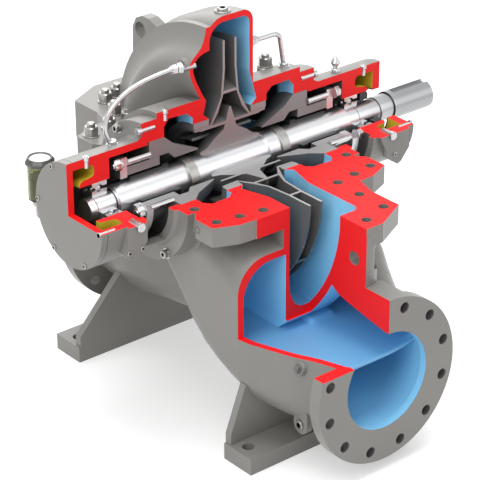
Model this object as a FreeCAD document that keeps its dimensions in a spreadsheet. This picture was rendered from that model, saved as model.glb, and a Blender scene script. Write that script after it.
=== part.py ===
import FreeCAD, Part, Sketcher
import math
import os

V = FreeCAD.Vector
doc = FreeCAD.newDocument("SplitCasePump")
sheet = doc.addObject("Spreadsheet::Sheet", "Sizes")

SIZES = [
    ("axis_height", 485),
    ("flange_od", 340), ("flange_bore", 200), ("flange_pcd", 295), ("flange_hole", 22),
    ("flange_holes", 12), ("flange_thick", 26), ("suction_reach", 462), ("suction_drop", 291),
    ("discharge_reach", 352), ("discharge_drop", 260), ("nozzle_wall", 12),
    ("front_cut", 236), ("low_cut", 236.5),
    ("channel_half", 49), ("channel_wall", 9), ("rim_wall", 16),
    ("volute_top", 292), ("volute_front", 322), ("volute_low", 322), ("volute_rear", 270),
    ("eye_land", 102), ("eye_half", 90), ("neck_half", 62),
    ("chamber_in", 92), ("chamber_out", 161), ("chamber_radius", 130), ("chamber_wall", 19),
    ("bell_out", 178), ("casing_end", 200), ("end_flange_radius", 138), ("seal_seat_radius", 95.5),
    ("split_flange", 40), ("upper_flange", 40), ("stud_hole", 20), ("stud_depth", 32),
    ("rim_left", 36), ("rim_right", 16), ("nose_radius", 64), ("nose_hole", 28), ("lug_thick", 24), ("lug_hole", 34),
    ("foot_length", 426), ("foot_row", 278), ("foot_width", 80), ("foot_block", 35),
    ("foot_hole", 24), ("foot_pitch", 372), ("web_thick", 16),
    ("ring_half", 52), ("ring_bore", 88.4),
    ("outlet_radius", 254), ("outlet_half", 17), ("shroud", 5), ("eye_radius", 88),
    ("hub_radius", 70), ("hub_half", 58), ("vanes", 6), ("vane_thick", 5),
    ("shaft_nde_end", 349), ("shaft_de_end", 522), ("bearing_bore", 45), ("shaft_mid", 50),
    ("coupling_dia", 60), ("coupling_from", 413), ("key_width", 18), ("key_depth", 7),
    ("bracket_outer", 105), ("bracket_inner", 90), ("bracket_flange", 15),
    ("housing_from", 291), ("housing_to", 374), ("housing_bore", 48.5),
    ("cover_thick", 14), ("oil_outer", 88), ("oil_from", 326), ("oil_lip", 62),
    ("sleeve_dia", 62), ("sleeve_nut_dia", 76), ("fit_gap", 0.3), ("run_gap", 0.4),
    ("ball_dia", 15), ("barrel_radius", 60), ("gland_plate", 250), ("cover_de", 19), ("stud_circle", 70), ("tube_dia", 10),
]
for row, (alias, number) in enumerate(SIZES, start=1):
    sheet.set("A%d" % row, alias)
    sheet.set("B%d" % row, str(number))
    sheet.setAlias("B%d" % row, alias)
doc.recompute()


class Dim:
    """A length that carries both its number and the sheet expression that gives it."""

    def __init__(self, number, text):
        self.number = number
        self.text = text

    def join(self, other, sign, number):
        return Dim(number, "(%s %s %s)" % (self.text, sign, other.text))

    def __add__(self, other):
        other = dim(other)
        return self.join(other, "+", self.number + other.number)

    def __sub__(self, other):
        other = dim(other)
        return self.join(other, "-", self.number - other.number)

    def __mul__(self, other):
        other = dim(other)
        return self.join(other, "*", self.number * other.number)

    def __truediv__(self, other):
        other = dim(other)
        return self.join(other, "/", self.number / other.number)

    def __radd__(self, other):
        return dim(other) + self

    def __rsub__(self, other):
        return dim(other) - self

    def __rmul__(self, other):
        return dim(other) * self

    def __neg__(self):
        return Dim(-self.number, "(0 - %s)" % self.text)


def dim(item):
    if isinstance(item, Dim):
        return item
    if isinstance(item, str):
        return Dim(float(getattr(sheet, item)), "Sizes." + item)
    return Dim(float(item), repr(float(item)))


def bind(thing, path, item):
    item = dim(item)
    if "." not in path and "[" not in path:
        setattr(thing, path, item.number)
    if "Sizes" in item.text:
        thing.setExpression(path, item.text)


def seat(thing, x, y, z, turn=None):
    """Places a primitive at a point of the axis frame, z counted from the shaft axis."""
    x, y, z = dim(x), dim(y), dim(z) + dim("axis_height")
    thing.Placement = FreeCAD.Placement(V(x.number, y.number, z.number), turn or FreeCAD.Rotation())
    for letter, item in (("x", x), ("y", y), ("z", z)):
        if "Sizes" in item.text:
            thing.setExpression("Placement.Base." + letter, item.text)
    return thing


TO_X = FreeCAD.Rotation(V(0, 1, 0), 90)
TO_Y = FreeCAD.Rotation(V(1, 0, 0), -90)
TO_NEG_Y = FreeCAD.Rotation(V(1, 0, 0), 90)
count = {}


def fresh(stem):
    count[stem] = count.get(stem, 0) + 1
    return "%s_%d" % (stem, count[stem])


def rod(x, y, z, radius, length, turn=TO_X):
    thing = doc.addObject("Part::Cylinder", fresh("rod"))
    bind(thing, "Radius", radius)
    bind(thing, "Height", length)
    return seat(thing, x, y, z, turn)


def block(x0, x1, y0, y1, z0, z1):
    thing = doc.addObject("Part::Box", fresh("block"))
    x0, x1, y0, y1, z0, z1 = [dim(item) for item in (x0, x1, y0, y1, z0, z1)]
    bind(thing, "Length", x1 - x0)
    bind(thing, "Width", y1 - y0)
    bind(thing, "Height", z1 - z0)
    return seat(thing, x0, y0, z0)


def draft(points, offset=0, plane="XZ"):
    """Closed sketch of straight edges, every corner tied to the sheet."""
    thing = doc.addObject("Sketcher::SketchObject", fresh("draft"))
    points = [(dim(a), dim(b)) for a, b in points]
    corners = [V(a.number, b.number, 0) for a, b in points]
    total = len(corners)
    thing.addGeometry([Part.LineSegment(corners[i], corners[(i + 1) % total]) for i in range(total)], False)
    for i in range(total):
        thing.addConstraint(Sketcher.Constraint("Coincident", i, 2, (i + 1) % total, 1))
    for i, (a, b) in enumerate(points):
        for kind, item, axis in (("DistanceX", a, -2), ("DistanceY", b, -1)):
            if item.number == 0:
                thing.addConstraint(Sketcher.Constraint("PointOnObject", i, 1, axis))
                continue
            place = thing.addConstraint(Sketcher.Constraint(kind, -1, 1, i, 1, item.number))
            if "Sizes" in item.text:
                thing.setExpression("Constraints[%d]" % place, item.text)
    if plane == "XZ":
        return seat(thing, 0, offset, 0, FreeCAD.Rotation(V(1, 0, 0), 90))
    if plane == "YZ":
        return seat(thing, offset, 0, 0, FreeCAD.Rotation(V(1, 1, 1), 120))
    return seat(thing, 0, 0, offset)


def turned(points, angle=270, start=0):
    """Turns a profile (x, radius) about the shaft; 270 leaves the upper front quarter open."""
    thing = doc.addObject("Part::Revolution", fresh("turned"))
    profile = draft(points)
    thing.Source = profile
    thing.Axis = V(1, 0, 0)
    axis = dim("axis_height")
    thing.Base = V(0, 0, axis.number)
    thing.setExpression("Base.z", axis.text)
    thing.Angle = -angle
    thing.Solid = True
    return thing


def turned_circle(x, radius, tube):
    """Ring of round section about the shaft."""
    thing = doc.addObject("Part::Torus", fresh("torus"))
    bind(thing, "Radius1", radius)
    bind(thing, "Radius2", tube)
    return seat(thing, x, 0, 0, TO_X)


def pulled(profile, direction, length):
    thing = doc.addObject("Part::Extrusion", fresh("pulled"))
    thing.Base = profile
    thing.DirMode = "Custom"
    thing.Dir = direction
    bind(thing, "LengthFwd", length)
    thing.Solid = True
    return thing


def fused(*items):
    if len(items) == 1:
        return items[0]
    thing = doc.addObject("Part::MultiFuse", fresh("fused"))
    thing.Shapes = list(items)
    return thing


def cut(base, *tools):
    thing = doc.addObject("Part::Cut", fresh("cut"))
    thing.Base = base
    thing.Tool = fused(*tools)
    return thing


def grouped(*items):
    thing = doc.addObject("Part::Compound", fresh("grouped"))
    thing.Links = list(items)
    return thing


def common(*items):
    thing = doc.addObject("Part::MultiCommon", fresh("common"))
    thing.Shapes = list(items)
    return thing


def raw(shape, stem="raw"):
    thing = doc.addObject("Part::Feature", fresh(stem))
    thing.Shape = shape
    return thing


def ring(x0, x1, outer, inner, angle=270):
    return turned([(x0, inner), (x1, inner), (x1, outer), (x0, outer)], angle)


nodes = {}


def keep(name, thing):
    thing.Label = name
    nodes[name] = thing
    return thing


def size(name):
    return dim(name).number


HEIGHT = size("axis_height")
BIG = 700


# Volute outline in the plane across the shaft

def volute_slab(grow, half, left=0, right=0, room=None):
    """Spline outline of the scroll, radius by angle from the rear over the top, drawn out along X, rims rounded."""
    rear, top = size("volute_rear"), size("volute_top")
    front, low = size("volute_front"), size("volute_low")
    radii = [rear, (rear + top) / 2, top, (top + front) / 2 + 2, front, (front + low) / 2, low, (low + rear) / 2]
    points = []
    for step in range(7, 15):
        radius = radii[step % 8]
        angle = step * math.pi / 4
        points.append(V(-half, math.cos(angle) * (radius + grow), HEIGHT + math.sin(angle) * (radius + grow)))
    curve = Part.BSplineCurve()
    curve.interpolate(points, PeriodicFlag=True)
    slab = Part.Face(Part.Wire(curve.toShape())).extrude(V(2 * half, 0, 0))
    for end, radius in ((-half, left), (half, right)):
        if radius:
            rim = [edge for edge in slab.Edges if abs(edge.BoundBox.XMin - end) < 0.1 and edge.BoundBox.XLength < 0.2]
            slab = slab.makeFillet(radius, rim)
    if room:
        y0, z0, z1 = room
        slab = slab.common(Part.makeBox(2 * BIG, 2 * BIG, z1 - z0, V(-BIG, y0, HEIGHT + z0)))
    return slab


def rounded_rect(x_half, z0, z1, radius, y):
    """Wire with rounded corners in a plane square to Y, z counted from the shaft axis."""
    r = radius
    z0 += HEIGHT
    z1 += HEIGHT
    spots = [(x_half - r, z0 + r, -90), (x_half - r, z1 - r, 0), (-x_half + r, z1 - r, 90), (-x_half + r, z0 + r, 180)]
    edges = []
    last = None
    first = None
    for cx, cz, start in spots:
        ends = []
        for turn in (0, 45, 90):
            angle = math.radians(start + turn)
            ends.append(V(cx + r * math.cos(angle), y, cz + r * math.sin(angle)))
        if last is not None:
            edges.append(Part.LineSegment(last, ends[0]).toShape())
        else:
            first = ends[0]
        edges.append(Part.Arc(*ends).toShape())
        last = ends[2]
    edges.append(Part.LineSegment(last, first).toShape())
    return Part.Wire(edges)


def eased(sections, parts):
    """Fills in sections along Y with cubic steps whose slopes never overshoot the given ones."""
    rows = []
    gaps = [b[4] - a[4] for a, b in zip(sections, sections[1:])]
    slopes = []
    for k in range(4):
        rates = [(b[k] - a[k]) / gap for a, b, gap in zip(sections, sections[1:], gaps)]
        mids = [rates[0]]
        for before, after in zip(rates, rates[1:]):
            mids.append(0 if before * after <= 0 else 2 * before * after / (before + after))
        slopes.append(mids + [rates[-1]])
    for i, gap in enumerate(gaps):
        for step in range(parts):
            t = step / float(parts)
            row = []
            for k in range(4):
                a, b = sections[i][k], sections[i + 1][k]
                m, n = slopes[k][i] * gap, slopes[k][i + 1] * gap
                row.append((2 * t ** 3 - 3 * t ** 2 + 1) * a + (t ** 3 - 2 * t ** 2 + t) * m
                           + (3 * t ** 2 - 2 * t ** 3) * b + (t ** 3 - t ** 2) * n)
            rows.append(tuple(row) + (sections[i][4] + gap * t,))
    return rows + [sections[-1]]


def duct(sections, parts=3):
    wires = [rounded_rect(*section) for section in eased(sections, parts)]
    return Part.makeLoft(wires, True, True)


def suction_body(wall):
    """Suction branch from behind the round mouth to the two chambers beside the scroll."""
    r = size("flange_bore") / 2 + wall
    drop = -size("suction_drop")
    reach = size("suction_reach")
    return duct([
        (r + 1, drop - r - 1, drop + r + 1, r - 3, -reach + 16),
        (r + 13, drop - r - 1, drop + r + 11, r - 8, -reach + 70),
        (150 + wall - 12, -392 + 12 - wall, -152 - 12 + wall, 70, -320),
        (176 + wall - 14, -372 + 14 - wall, -81 - 14 + wall, 68, -236),
        (178 + wall - 14, -322 + 14 - wall, -40 - 14 + wall, 66, -130),
        (176 + wall - 14, -200 + 14 - wall, -14 + wall - 14, 60, -20),
    ])


def discharge_body(wall):
    """Discharge branch from the foot of the scroll to the rear mouth."""
    r = size("flange_bore") / 2 + wall
    drop = -size("discharge_drop")
    return duct([
        (size("channel_half") + wall, -size("volute_low") - wall, -150 + wall, 30, 0),
        (72 + wall, -size("volute_low") - 18 - wall, -150 + wall, 55, 130),
        (r - 2, drop - r - 1, drop + r + 1, r - 12, 250),
        (r + 1, drop - r - 1, drop + r + 1, r - 3, size("discharge_reach") - 16),
    ])


# Lower casing

def flange(y0, y1, drop, x=0):
    """Pipe flange disc with its bolt circle as separate cutters."""
    r = dim("flange_od") / 2
    disc = rod(x, y0, -dim(drop), r, y1 - y0, TO_Y)
    holes = []
    number = int(size("flange_holes"))
    for k in range(number):
        angle = 2 * math.pi * (k + 0.5) / number
        pcr = dim("flange_pcd") / 2
        holes.append(rod(pcr * math.cos(angle), dim(y0) - 1, pcr * math.sin(angle) - dim(drop),
                         dim("flange_hole") / 2, dim(y1) - y0 + 2, TO_Y))
    return disc, holes


def half_outline():
    """Split flange edge for x > 0 from the front centre to the rear centre."""
    front = [(41, -395), (116, -357), (116, -281), (130, -234), (166, -232), (215, -211), (215, -161), (200, -144)]
    return front + [(x, -y) for x, y in reversed(front)]


# Stud holes of the open front half of the split face
STUDS = [(90, -276), (89, -344), (27, -365)]
for hole_x, hole_y in ((190, -127), (192, -195), (143, -203), (93, -211)):
    STUDS += [(-hole_x, hole_y), (hole_x, hole_y)]


def split_plate(z0, z1, rear_only=False):
    right = half_outline()
    if rear_only:
        right = [(200, 0)] + right[len(right) // 2:]
        left = [(-x, y) for x, y in reversed(right)]
        points = right + left
    else:
        points = right + [(-x, y) for x, y in reversed(right)]
    profile = draft(points, z0, "XY")
    return pulled(profile, V(0, 0, 1), dim(z1) - z0)


land = dim("eye_land")


def wet_rooms():
    """Turned rooms of the casing: impeller room, eye lands, suction chambers and seal bores."""
    return [
        (-dim("casing_end") - 1, 0), (-dim("casing_end") - 1, dim("seal_seat_radius")),
        (-dim("chamber_out"), dim("seal_seat_radius")), (-dim("chamber_out"), dim("chamber_radius") - 14),
        (-dim("chamber_out") + 12, dim("chamber_radius")), (-dim("chamber_in") - 14, dim("chamber_radius") - 2),
        (-dim("chamber_in"), dim("chamber_radius") - 14), (-dim("chamber_in"), land),
        (-dim("ring_half"), land), (-dim("ring_half") - 14, land + 12),
        (-dim("channel_half"), 176), (-dim("channel_half") + 6, 192), (dim("channel_half") - 6, 192),
        (dim("channel_half"), 176), (dim("ring_half") + 14, land + 12), (dim("ring_half"), land),
        (dim("chamber_in"), land), (dim("chamber_in"), dim("chamber_radius") - 14),
        (dim("chamber_in") + 14, dim("chamber_radius") - 2), (dim("chamber_out") - 12, dim("chamber_radius")),
        (dim("chamber_out"), dim("chamber_radius") - 14), (dim("chamber_out"), dim("seal_seat_radius")),
        (dim("casing_end") + 1, dim("seal_seat_radius")), (dim("casing_end") + 1, 0),
    ]


def chamber_shell():
    """Outside of the two suction chambers with the round end flanges."""
    outer = dim("chamber_radius") + dim("chamber_wall")
    return [(-dim("casing_end"), 0), (-dim("casing_end"), dim("end_flange_radius")),
            (-dim("bell_out"), dim("end_flange_radius")), (-dim("bell_out"), outer), (-60, outer),
            (60, outer), (dim("bell_out"), outer), (dim("bell_out"), dim("end_flange_radius")),
            (dim("casing_end"), dim("end_flange_radius")), (dim("casing_end"), 0)]


def foot(side):
    """Base block with its web; side is -1 for the front and 1 for the rear."""
    half = dim("foot_length") / 2
    mid = side * dim("foot_row")
    low = -dim("axis_height")
    base = block(-half, half, mid - dim("foot_width") / 2, mid + dim("foot_width") / 2, low, low + dim("foot_block"))
    if side < 0:
        top = [(-172, -330), (172, -330)]
    else:
        top = [(-85, -294), (85, -294)]
    web_points = [(-half + 4, low), (half - 4, low), (half - 4, low + dim("foot_block") + 22), top[1], top[0],
                  (-half + 4, low + dim("foot_block") + 22)]
    inner = mid - side * dim("foot_width") / 2
    start = inner + dim("web_thick") if side < 0 else inner + dim("web_thick")
    web = pulled(draft(web_points, start if side > 0 else inner, "XZ"), V(0, -1, 0), dim("web_thick"))
    holes = []
    for x in (-1, 1):
        holes.append(rod(x * dim("foot_pitch") / 2, mid, low - 1, dim("foot_hole") / 2, dim("foot_block") + 2,
                         FreeCAD.Rotation()))
    return base, web, holes


suction_disc, suction_holes = flange(-dim("suction_reach"), -dim("suction_reach") + dim("flange_thick"), "suction_drop")
discharge_disc, discharge_holes = flange(dim("discharge_reach") - dim("flange_thick"), dim("discharge_reach"),
                                         "discharge_drop")
front_base, front_web, front_holes = foot(-1)
rear_base, rear_web, rear_holes = foot(1)

scroll_out = raw(volute_slab(size("rim_wall"), size("channel_half") + size("channel_wall"), 22, 22,
                             (-BIG, -BIG, 0)), "scroll_out")
scroll_in = raw(volute_slab(0, size("channel_half"), size("rim_left"), size("rim_right"), (-BIG, -BIG, 1)), "scroll_in")
suction_out = raw(suction_body(14), "suction_out")
suction_in = raw(suction_body(0), "suction_in")
discharge_out = raw(discharge_body(12), "discharge_out")
discharge_in = raw(discharge_body(0), "discharge_in")
shell_low = common(turned(chamber_shell(), 360), block(-BIG, BIG, -BIG, BIG, -BIG, 0))
nose = dim("nose_radius")
nose_y = -dim("front_cut") - 96
nose_post = rod(0, nose_y, -215, nose, 200, FreeCAD.Rotation())
nose_web = block(-nose, nose, nose_y, -190, -215, -15)
neck_disc = rod(0, -dim("suction_reach") + 12, -dim("suction_drop"), dim("flange_od") / 2, 70, TO_Y)
neck = common(neck_disc, block(-nose + 8, nose - 8, -460, -360, -215, -100))
outer = fused(shell_low, split_plate(-dim("split_flange"), 0), suction_out, discharge_out, scroll_out, nose_post,
              nose_web, neck)
body = fused(outer, suction_disc, discharge_disc, front_base, front_web, rear_base, rear_web)
scroll_skin = raw(volute_slab(size("rim_wall"), size("channel_half") + size("channel_wall")), "scroll_skin")
passages = cut(suction_in, scroll_skin)
bore = dim("flange_bore") / 2
suction_bore = rod(0, -dim("suction_reach") - 1, -dim("suction_drop"), bore, 60, TO_Y)
discharge_bore = rod(0, dim("discharge_reach") - 60, -dim("discharge_drop"), bore, 61, TO_Y)
body = cut(body, passages)
body = cut(body, suction_bore)
body = cut(body, discharge_in)
body = cut(body, discharge_bore)
body = cut(body, turned(wet_rooms(), 360))
body = cut(body, scroll_in)
body = cut(body, block(-BIG, 0, -BIG, -dim("front_cut"), -dim("low_cut"), 10))
nose_hole = rod(-nose - 10, -363, -72, dim("nose_hole") / 2, 2 * nose + 20)
stud_holes = []
for x, y in STUDS:
    stud_holes.append(rod(x, y, -dim("stud_depth"), dim("stud_hole") / 2, dim("stud_depth") + 1, FreeCAD.Rotation()))
nose_pocket = rod(26, -363, -72, dim("nose_hole") / 2 + 20, 60)
body = cut(body, nose_hole)
body = cut(body, nose_pocket)
casing = cut(body, grouped(*suction_holes, *discharge_holes, *front_holes, *rear_holes, *stud_holes))
keep("lower_casing", casing)

# Upper casing, rear quarter

def quarter_turn(points):
    """Room between a smooth profile (x, radius) and the scroll wall, turned over the upper rear quarter."""
    spots = [V(x, 0, HEIGHT + radius) for x, radius in points]
    curve = Part.BSplineCurve()
    curve.interpolate(spots)
    low = V(-40, 0, HEIGHT + points[-1][1])
    high = V(-40, 0, HEIGHT + points[0][1])
    edges = [curve.toShape(), Part.LineSegment(spots[-1], low).toShape(), Part.LineSegment(low, high).toShape(),
             Part.LineSegment(high, spots[0]).toShape()]
    face = Part.Face(Part.Wire(edges))
    return face.revolve(V(0, 0, HEIGHT), V(1, 0, 0), -90)


half = dim("channel_half")
wall_x = size("channel_half") + size("channel_wall")
bulge_out = raw(quarter_turn([(-57, 290), (-62, 268), (-72, 250), (-88, 236), (-98, 220), (-97, 204), (-88, 180),
                              (-76, 155), (-62, 138)]), "bulge_out")
bulge_in = raw(quarter_turn([(-46, 243), (-62, 240), (-78, 233), (-88, 220), (-88, 205), (-79, 181), (-67, 156),
                             (-50, 130)]), "bulge_in")
lug_points = [(150, 180), (205, 214), (240, 226), (262, 226), (282, 216), (293, 196), (296, 120), (200, 100)]
lug = pulled(draft(lug_points, -dim("lug_thick") / 2, "YZ"), V(1, 0, 0), "lug_thick")
lug_hole = rod(-dim("lug_thick"), 268, 194, dim("lug_hole") / 2, dim("lug_thick") * 2)
upper_rim = raw(volute_slab(12, wall_x, size("rim_left") + 9, size("rim_right") + 9, (0, 0, BIG)), "upper_rim")
flush_boss = rod(-106, 14, 222, 13, 12)
upper_out = fused(turned(chamber_shell(), 90), split_plate(0, "upper_flange", True), upper_rim, bulge_out, lug,
                  flush_boss)
upper = cut(upper_out, raw(volute_slab(0, size("channel_half"), size("rim_left"), size("rim_right"),
                                       (-1, -1, BIG)), "upper_room"))
upper = cut(upper, turned(wet_rooms(), 360))
upper = cut(upper, bulge_in)
upper = cut(upper, lug_hole)
keep("upper_casing", upper)

# Wear rings

for side, tag in ((-1, "nde"), (1, "de")):
    a = side * dim("ring_half")
    b = side * dim("eye_half")
    keep("wear_ring_" + tag, ring(a, b, land - dim("fit_gap"), dim("ring_bore")))

# Impeller

def impeller():
    out = dim("outlet_radius")
    half = dim("outlet_half")
    t = dim("shroud")
    eye = dim("eye_radius")
    skin = [(-dim("eye_half") + 2, eye), (-49, eye), (-36, 112), (-22, 140), (-half, 194), (-half, out), (half, out),
            (half, 194), (22, 140), (36, 112), (49, eye), (dim("eye_half") - 2, eye)]
    flow = [(-dim("eye_half") + 1, eye - t), (-50, eye - t - 2), (-30, 108), (-22 + t, 142), (-half + t, 196),
            (-half + t, out + 1), (half - t, out + 1), (half - t, 196), (22 - t, 142), (30, 108), (50, eye - t - 2),
            (dim("eye_half") - 1, eye - t)]
    bore = dim("sleeve_dia") / 2
    inner = [(dim("eye_half") - 1, 0), (-dim("eye_half") + 1, 0)]
    body = turned(skin + [(dim("eye_half") - 2, bore), (-dim("eye_half") + 2, bore)], 270)
    water = turned(flow + inner, 360)
    end = dim("hub_half") + 16
    hub = turned([(-end, bore), (-end, 37), (-dim("hub_half"), 42), (-40, 56),
                  (-16, dim("hub_radius")), (-2, 114), (2, 114), (16, dim("hub_radius")), (40, 56),
                  (dim("hub_half"), 42), (end, 37), (end, bore)], 270)
    shell = cut(body, water)
    blades = []
    number = int(size("vanes"))
    for k in range(number):
        line = []
        for step in range(9):
            s = step / 8.0
            radius = 58 + (size("outlet_radius") - 58) * s
            angle = math.radians(64 + 360.0 * k / number) - math.log(radius / 58.0) / math.tan(math.radians(29)) * 1.0
            line.append(V(-95, math.cos(angle) * radius, HEIGHT + math.sin(angle) * radius))
        back = [V(p.x, p.y, p.z) for p in line]
        shift = size("vane_thick")
        other = []
        for i, p in enumerate(back):
            ahead = back[min(i + 1, len(back) - 1)] - back[max(i - 1, 0)]
            side_way = V(0, -ahead.z, ahead.y).normalize()
            other.append(p + side_way * shift)
        one = Part.BSplineCurve()
        one.interpolate(line)
        two = Part.BSplineCurve()
        two.interpolate(other)
        edges = [one.toShape(), Part.LineSegment(line[-1], other[-1]).toShape(), two.toShape(),
                 Part.LineSegment(other[0], line[0]).toShape()]
        face = Part.Face(Part.Wire(Part.__sortEdges__(edges)))
        blades.append(face.extrude(V(190, 0, 0)))
    blade_set = raw(Part.Compound(blades), "blades")
    wheel_room = turned([(-dim("eye_half") + 16, bore + 2), (-dim("eye_half") + 16, eye - 2), (-50, eye - 1), (-32, 110),
                         (-half + 2, 150), (-half + 2, out - 0.5), (half - 2, out - 0.5), (half - 2, 150), (32, 110),
                         (50, eye - 1), (dim("eye_half") - 16, eye - 2), (dim("eye_half") - 16, bore + 2)], 270)
    vanes = common(blade_set, wheel_room)
    whole = fused(shell, hub, vanes)
    return cut(whole, rod(-200, 0, 0, bore, 400))


keep("impeller", impeller())

# Shaft

def shaft():
    r1 = dim("bearing_bore") / 2
    r2 = dim("shaft_mid") / 2
    r3 = dim("coupling_dia") / 2
    middle = dim("sleeve_dia") / 2
    points = [(-dim("shaft_nde_end"), 0), (-dim("shaft_nde_end"), r1 - 2.5), (-dim("shaft_nde_end") + 1.5, r1 - 1),
              (-339, r1 - 1), (-339, r1), (-dim("housing_from"), r1), (-dim("housing_from"), r2), (-124, r2),
              (-124, r2 + 1), (-104, r2 + 1), (-104, middle), (104, middle), (104, r2 + 1), (124, r2 + 1), (124, r2), (dim("housing_from"), r2), (dim("housing_from"), r2 + 0.5),
              (377, r2 + 0.5), (377, r3 - 3), (dim("coupling_from"), r3 - 3), (dim("coupling_from"), r3),
              (dim("shaft_de_end") - 2, r3), (dim("shaft_de_end"), r3 - 2), (dim("shaft_de_end"), 0)]
    bar = turned(points, 360)
    r = r3
    slot = block(dim("coupling_from") + 12, dim("shaft_de_end") + 5, -dim("key_width") / 2, dim("key_width") / 2,
                 r - dim("key_depth"), r + 5)
    return cut(bar, slot)


keep("shaft", shaft())

# Sleeves, sleeve nuts, seals, bearings and housings, once for each side

for side, tag in ((-1, "nde"), (1, "de")):
    def at(x):
        return side * dim(x)

    shaft_r = dim("shaft_mid") / 2
    sleeve_r = dim("sleeve_dia") / 2
    hub_end = dim("hub_half") + 16
    keep("shaft_sleeve_" + tag, ring(at(124.3), at(288), sleeve_r, shaft_r + 0.05, 360))
    keep("sleeve_nut_" + tag, ring(at(104.2), at(124), dim("sleeve_nut_dia") / 2, shaft_r + 1.05, 360))
    keep("spacer_" + tag, ring(at(hub_end + 0.1), at(103.9), sleeve_r + 3, sleeve_r + 0.05, 360))
    seat_r = dim("seal_seat_radius")
    room = dim("chamber_out")
    plate = dim("gland_plate")
    keep("seal_chamber_" + tag, turned([
        (at(room - 81), 46), (at(room - 81), 49), (at(room - 22), 76), (at(room), seat_r - dim("fit_gap")),
        (at(room + 36), seat_r - dim("fit_gap")), (at(room + 36), "barrel_radius"), (at(room - 10), "barrel_radius"),
        (at(room - 24), 46)]))
    keep("seal_barrel_" + tag, turned([
        (at(room + 12), 42), (at(room + 12), dim("barrel_radius") - dim("fit_gap")),
        (at(plate), dim("barrel_radius") - dim("fit_gap")), (at(plate), 42)]))
    keep("gland_plate_" + tag, ring(at(plate), at(plate + 16), 80, 38))
    keep("seal_head_" + tag, turned([(at(room - 8), sleeve_r + 0.05), (at(room - 8), 40), (at(room + 6), 40),
                                     (at(room + 6), 37), (at(plate - 6), 37), (at(plate - 6), sleeve_r + 0.05)]))
    studs = []
    for angle in (0, 90, 180, 270):
        y = dim("stud_circle") * round(math.cos(math.radians(angle)))
        z = dim("stud_circle") * round(math.sin(math.radians(angle)))
        first = room + 36 if side > 0 else -plate
        studs.append(rod(first, y, z, 6.5, plate - room - 36))
    keep("gland_studs_" + tag, grouped(*studs))
    bore = dim("housing_bore")
    inner_r = dim("bearing_bore") / 2 if side < 0 else dim("shaft_mid") / 2 + 0.5
    ball = dim("ball_dia") / 2
    pitch = (bore + inner_r) / 2
    groove = ball + 0.08
    track = turned_circle(at(315), pitch, groove)
    keep("bearing_outer_" + tag, cut(ring(at(298), at(332), bore - 0.05, pitch + ball * 0.45), track))
    keep("bearing_inner_" + tag, cut(ring(at(298), at(332), pitch - ball * 0.45, inner_r + 0.05), track))
    balls = []
    for k in range(9):
        angle = math.radians(195 + k * 30)
        one = doc.addObject("Part::Sphere", fresh("ball"))
        bind(one, "Radius", ball)
        balls.append(seat(one, at(315), pitch * math.cos(angle), pitch * math.sin(angle)))
    keep("bearing_balls_" + tag, grouped(*balls))
    outer_r = dim("bracket_outer")
    inner_r = dim("bracket_inner")
    bracket = turned([
        (at("casing_end"), inner_r), (at("casing_end"), dim("end_flange_radius")),
        (at(dim("casing_end") + dim("bracket_flange")), dim("end_flange_radius")),
        (at(dim("casing_end") + dim("bracket_flange")), outer_r + 6), (at(dim("casing_end") + 25), outer_r),
        (at("housing_to"), outer_r), (at("housing_to"), "oil_outer"), (at(dim("oil_from") + 7), "oil_outer"),
        (at(dim("oil_from") + 2), dim("oil_outer") - 3), (at("oil_from"), dim("oil_outer") - 9),
        (at("oil_from"), dim("oil_lip") + 9), (at(dim("oil_from") + 2), dim("oil_lip") + 4),
        (at(dim("oil_from") + 8), dim("oil_lip") + 1), (at(352), dim("oil_lip") - 1), (at(357), dim("oil_lip") - 4),
        (at(360), dim("oil_lip") - 9), (at(360), bore), (at("housing_from"), bore),
        (at("housing_from"), inner_r)])
    x0 = dim("casing_end") + dim("bracket_flange") + 8
    x1 = dim("housing_from") - 8
    if side < 0:
        window = block(-x1, -x0, -140, -40, -72, 1)
    else:
        window = block(x0, x1, -140, -40, -72, 1)
    if side < 0:
        pad_points = [(-289, 0), (-332, 0), (-338, -58), (-326, -70), (-309, -66), (-291, -38)]
    else:
        pad_points = [(294, 0), (374, 0), (374, -40), (352, -66), (342, -70), (328, -60), (300, -14)]
    pad = pulled(draft(pad_points, -76), V(0, -1, 0), 38)
    bracket = fused(bracket, cut(pad, rod(-BIG, 0, 0, outer_r - 9, 2 * BIG)))
    tube_hole = rod(at(262), 26, 60, dim("tube_dia") / 2 + dim("fit_gap"), 60, FreeCAD.Rotation())
    keep("bearing_bracket_" + tag, cut(bracket, window, tube_hole) if side < 0 else cut(bracket, window))
    cover_in = dim("housing_to") + 0
    cover_out = dim("housing_to") + dim("cover_thick")
    if side < 0:
        keep("end_cover_" + tag, turned([(at(cover_in), 0), (at(cover_in), outer_r), (at(cover_out), outer_r),
                                         (at(cover_out), 0)]))
    else:
        keep("end_cover_" + tag, ring(at(cover_in), at(cover_in + dim("cover_de")), outer_r, 46))

# Flush pipes, plugs, lifting lug, oiler

def pipe(name, points, radius, bend):
    """Bent tube of straight runs joined by arcs, z counted from the shaft axis."""
    spots = [V(x, y, HEIGHT + z) for x, y, z in points]
    edges = []
    start = spots[0]
    for before, corner, after in zip(spots, spots[1:], spots[2:]):
        come = (corner - before).normalize()
        leave = (after - corner).normalize()
        reach = bend * math.tan(come.getAngle(leave) / 2)
        first = corner - come * reach
        last = corner + leave * reach
        inward = (leave - come).normalize()
        centre = corner + inward * math.hypot(bend, reach)
        middle = centre - inward * bend
        edges.append(Part.LineSegment(start, first).toShape())
        edges.append(Part.Arc(first, middle, last).toShape())
        start = last
    edges.append(Part.LineSegment(start, spots[-1]).toShape())
    circle = Part.Wire(Part.Circle(spots[0], spots[1] - spots[0], radius).toShape())
    solid = Part.Wire(edges).makePipe(Part.Face(circle))
    return keep(name, raw(solid, name))


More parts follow.
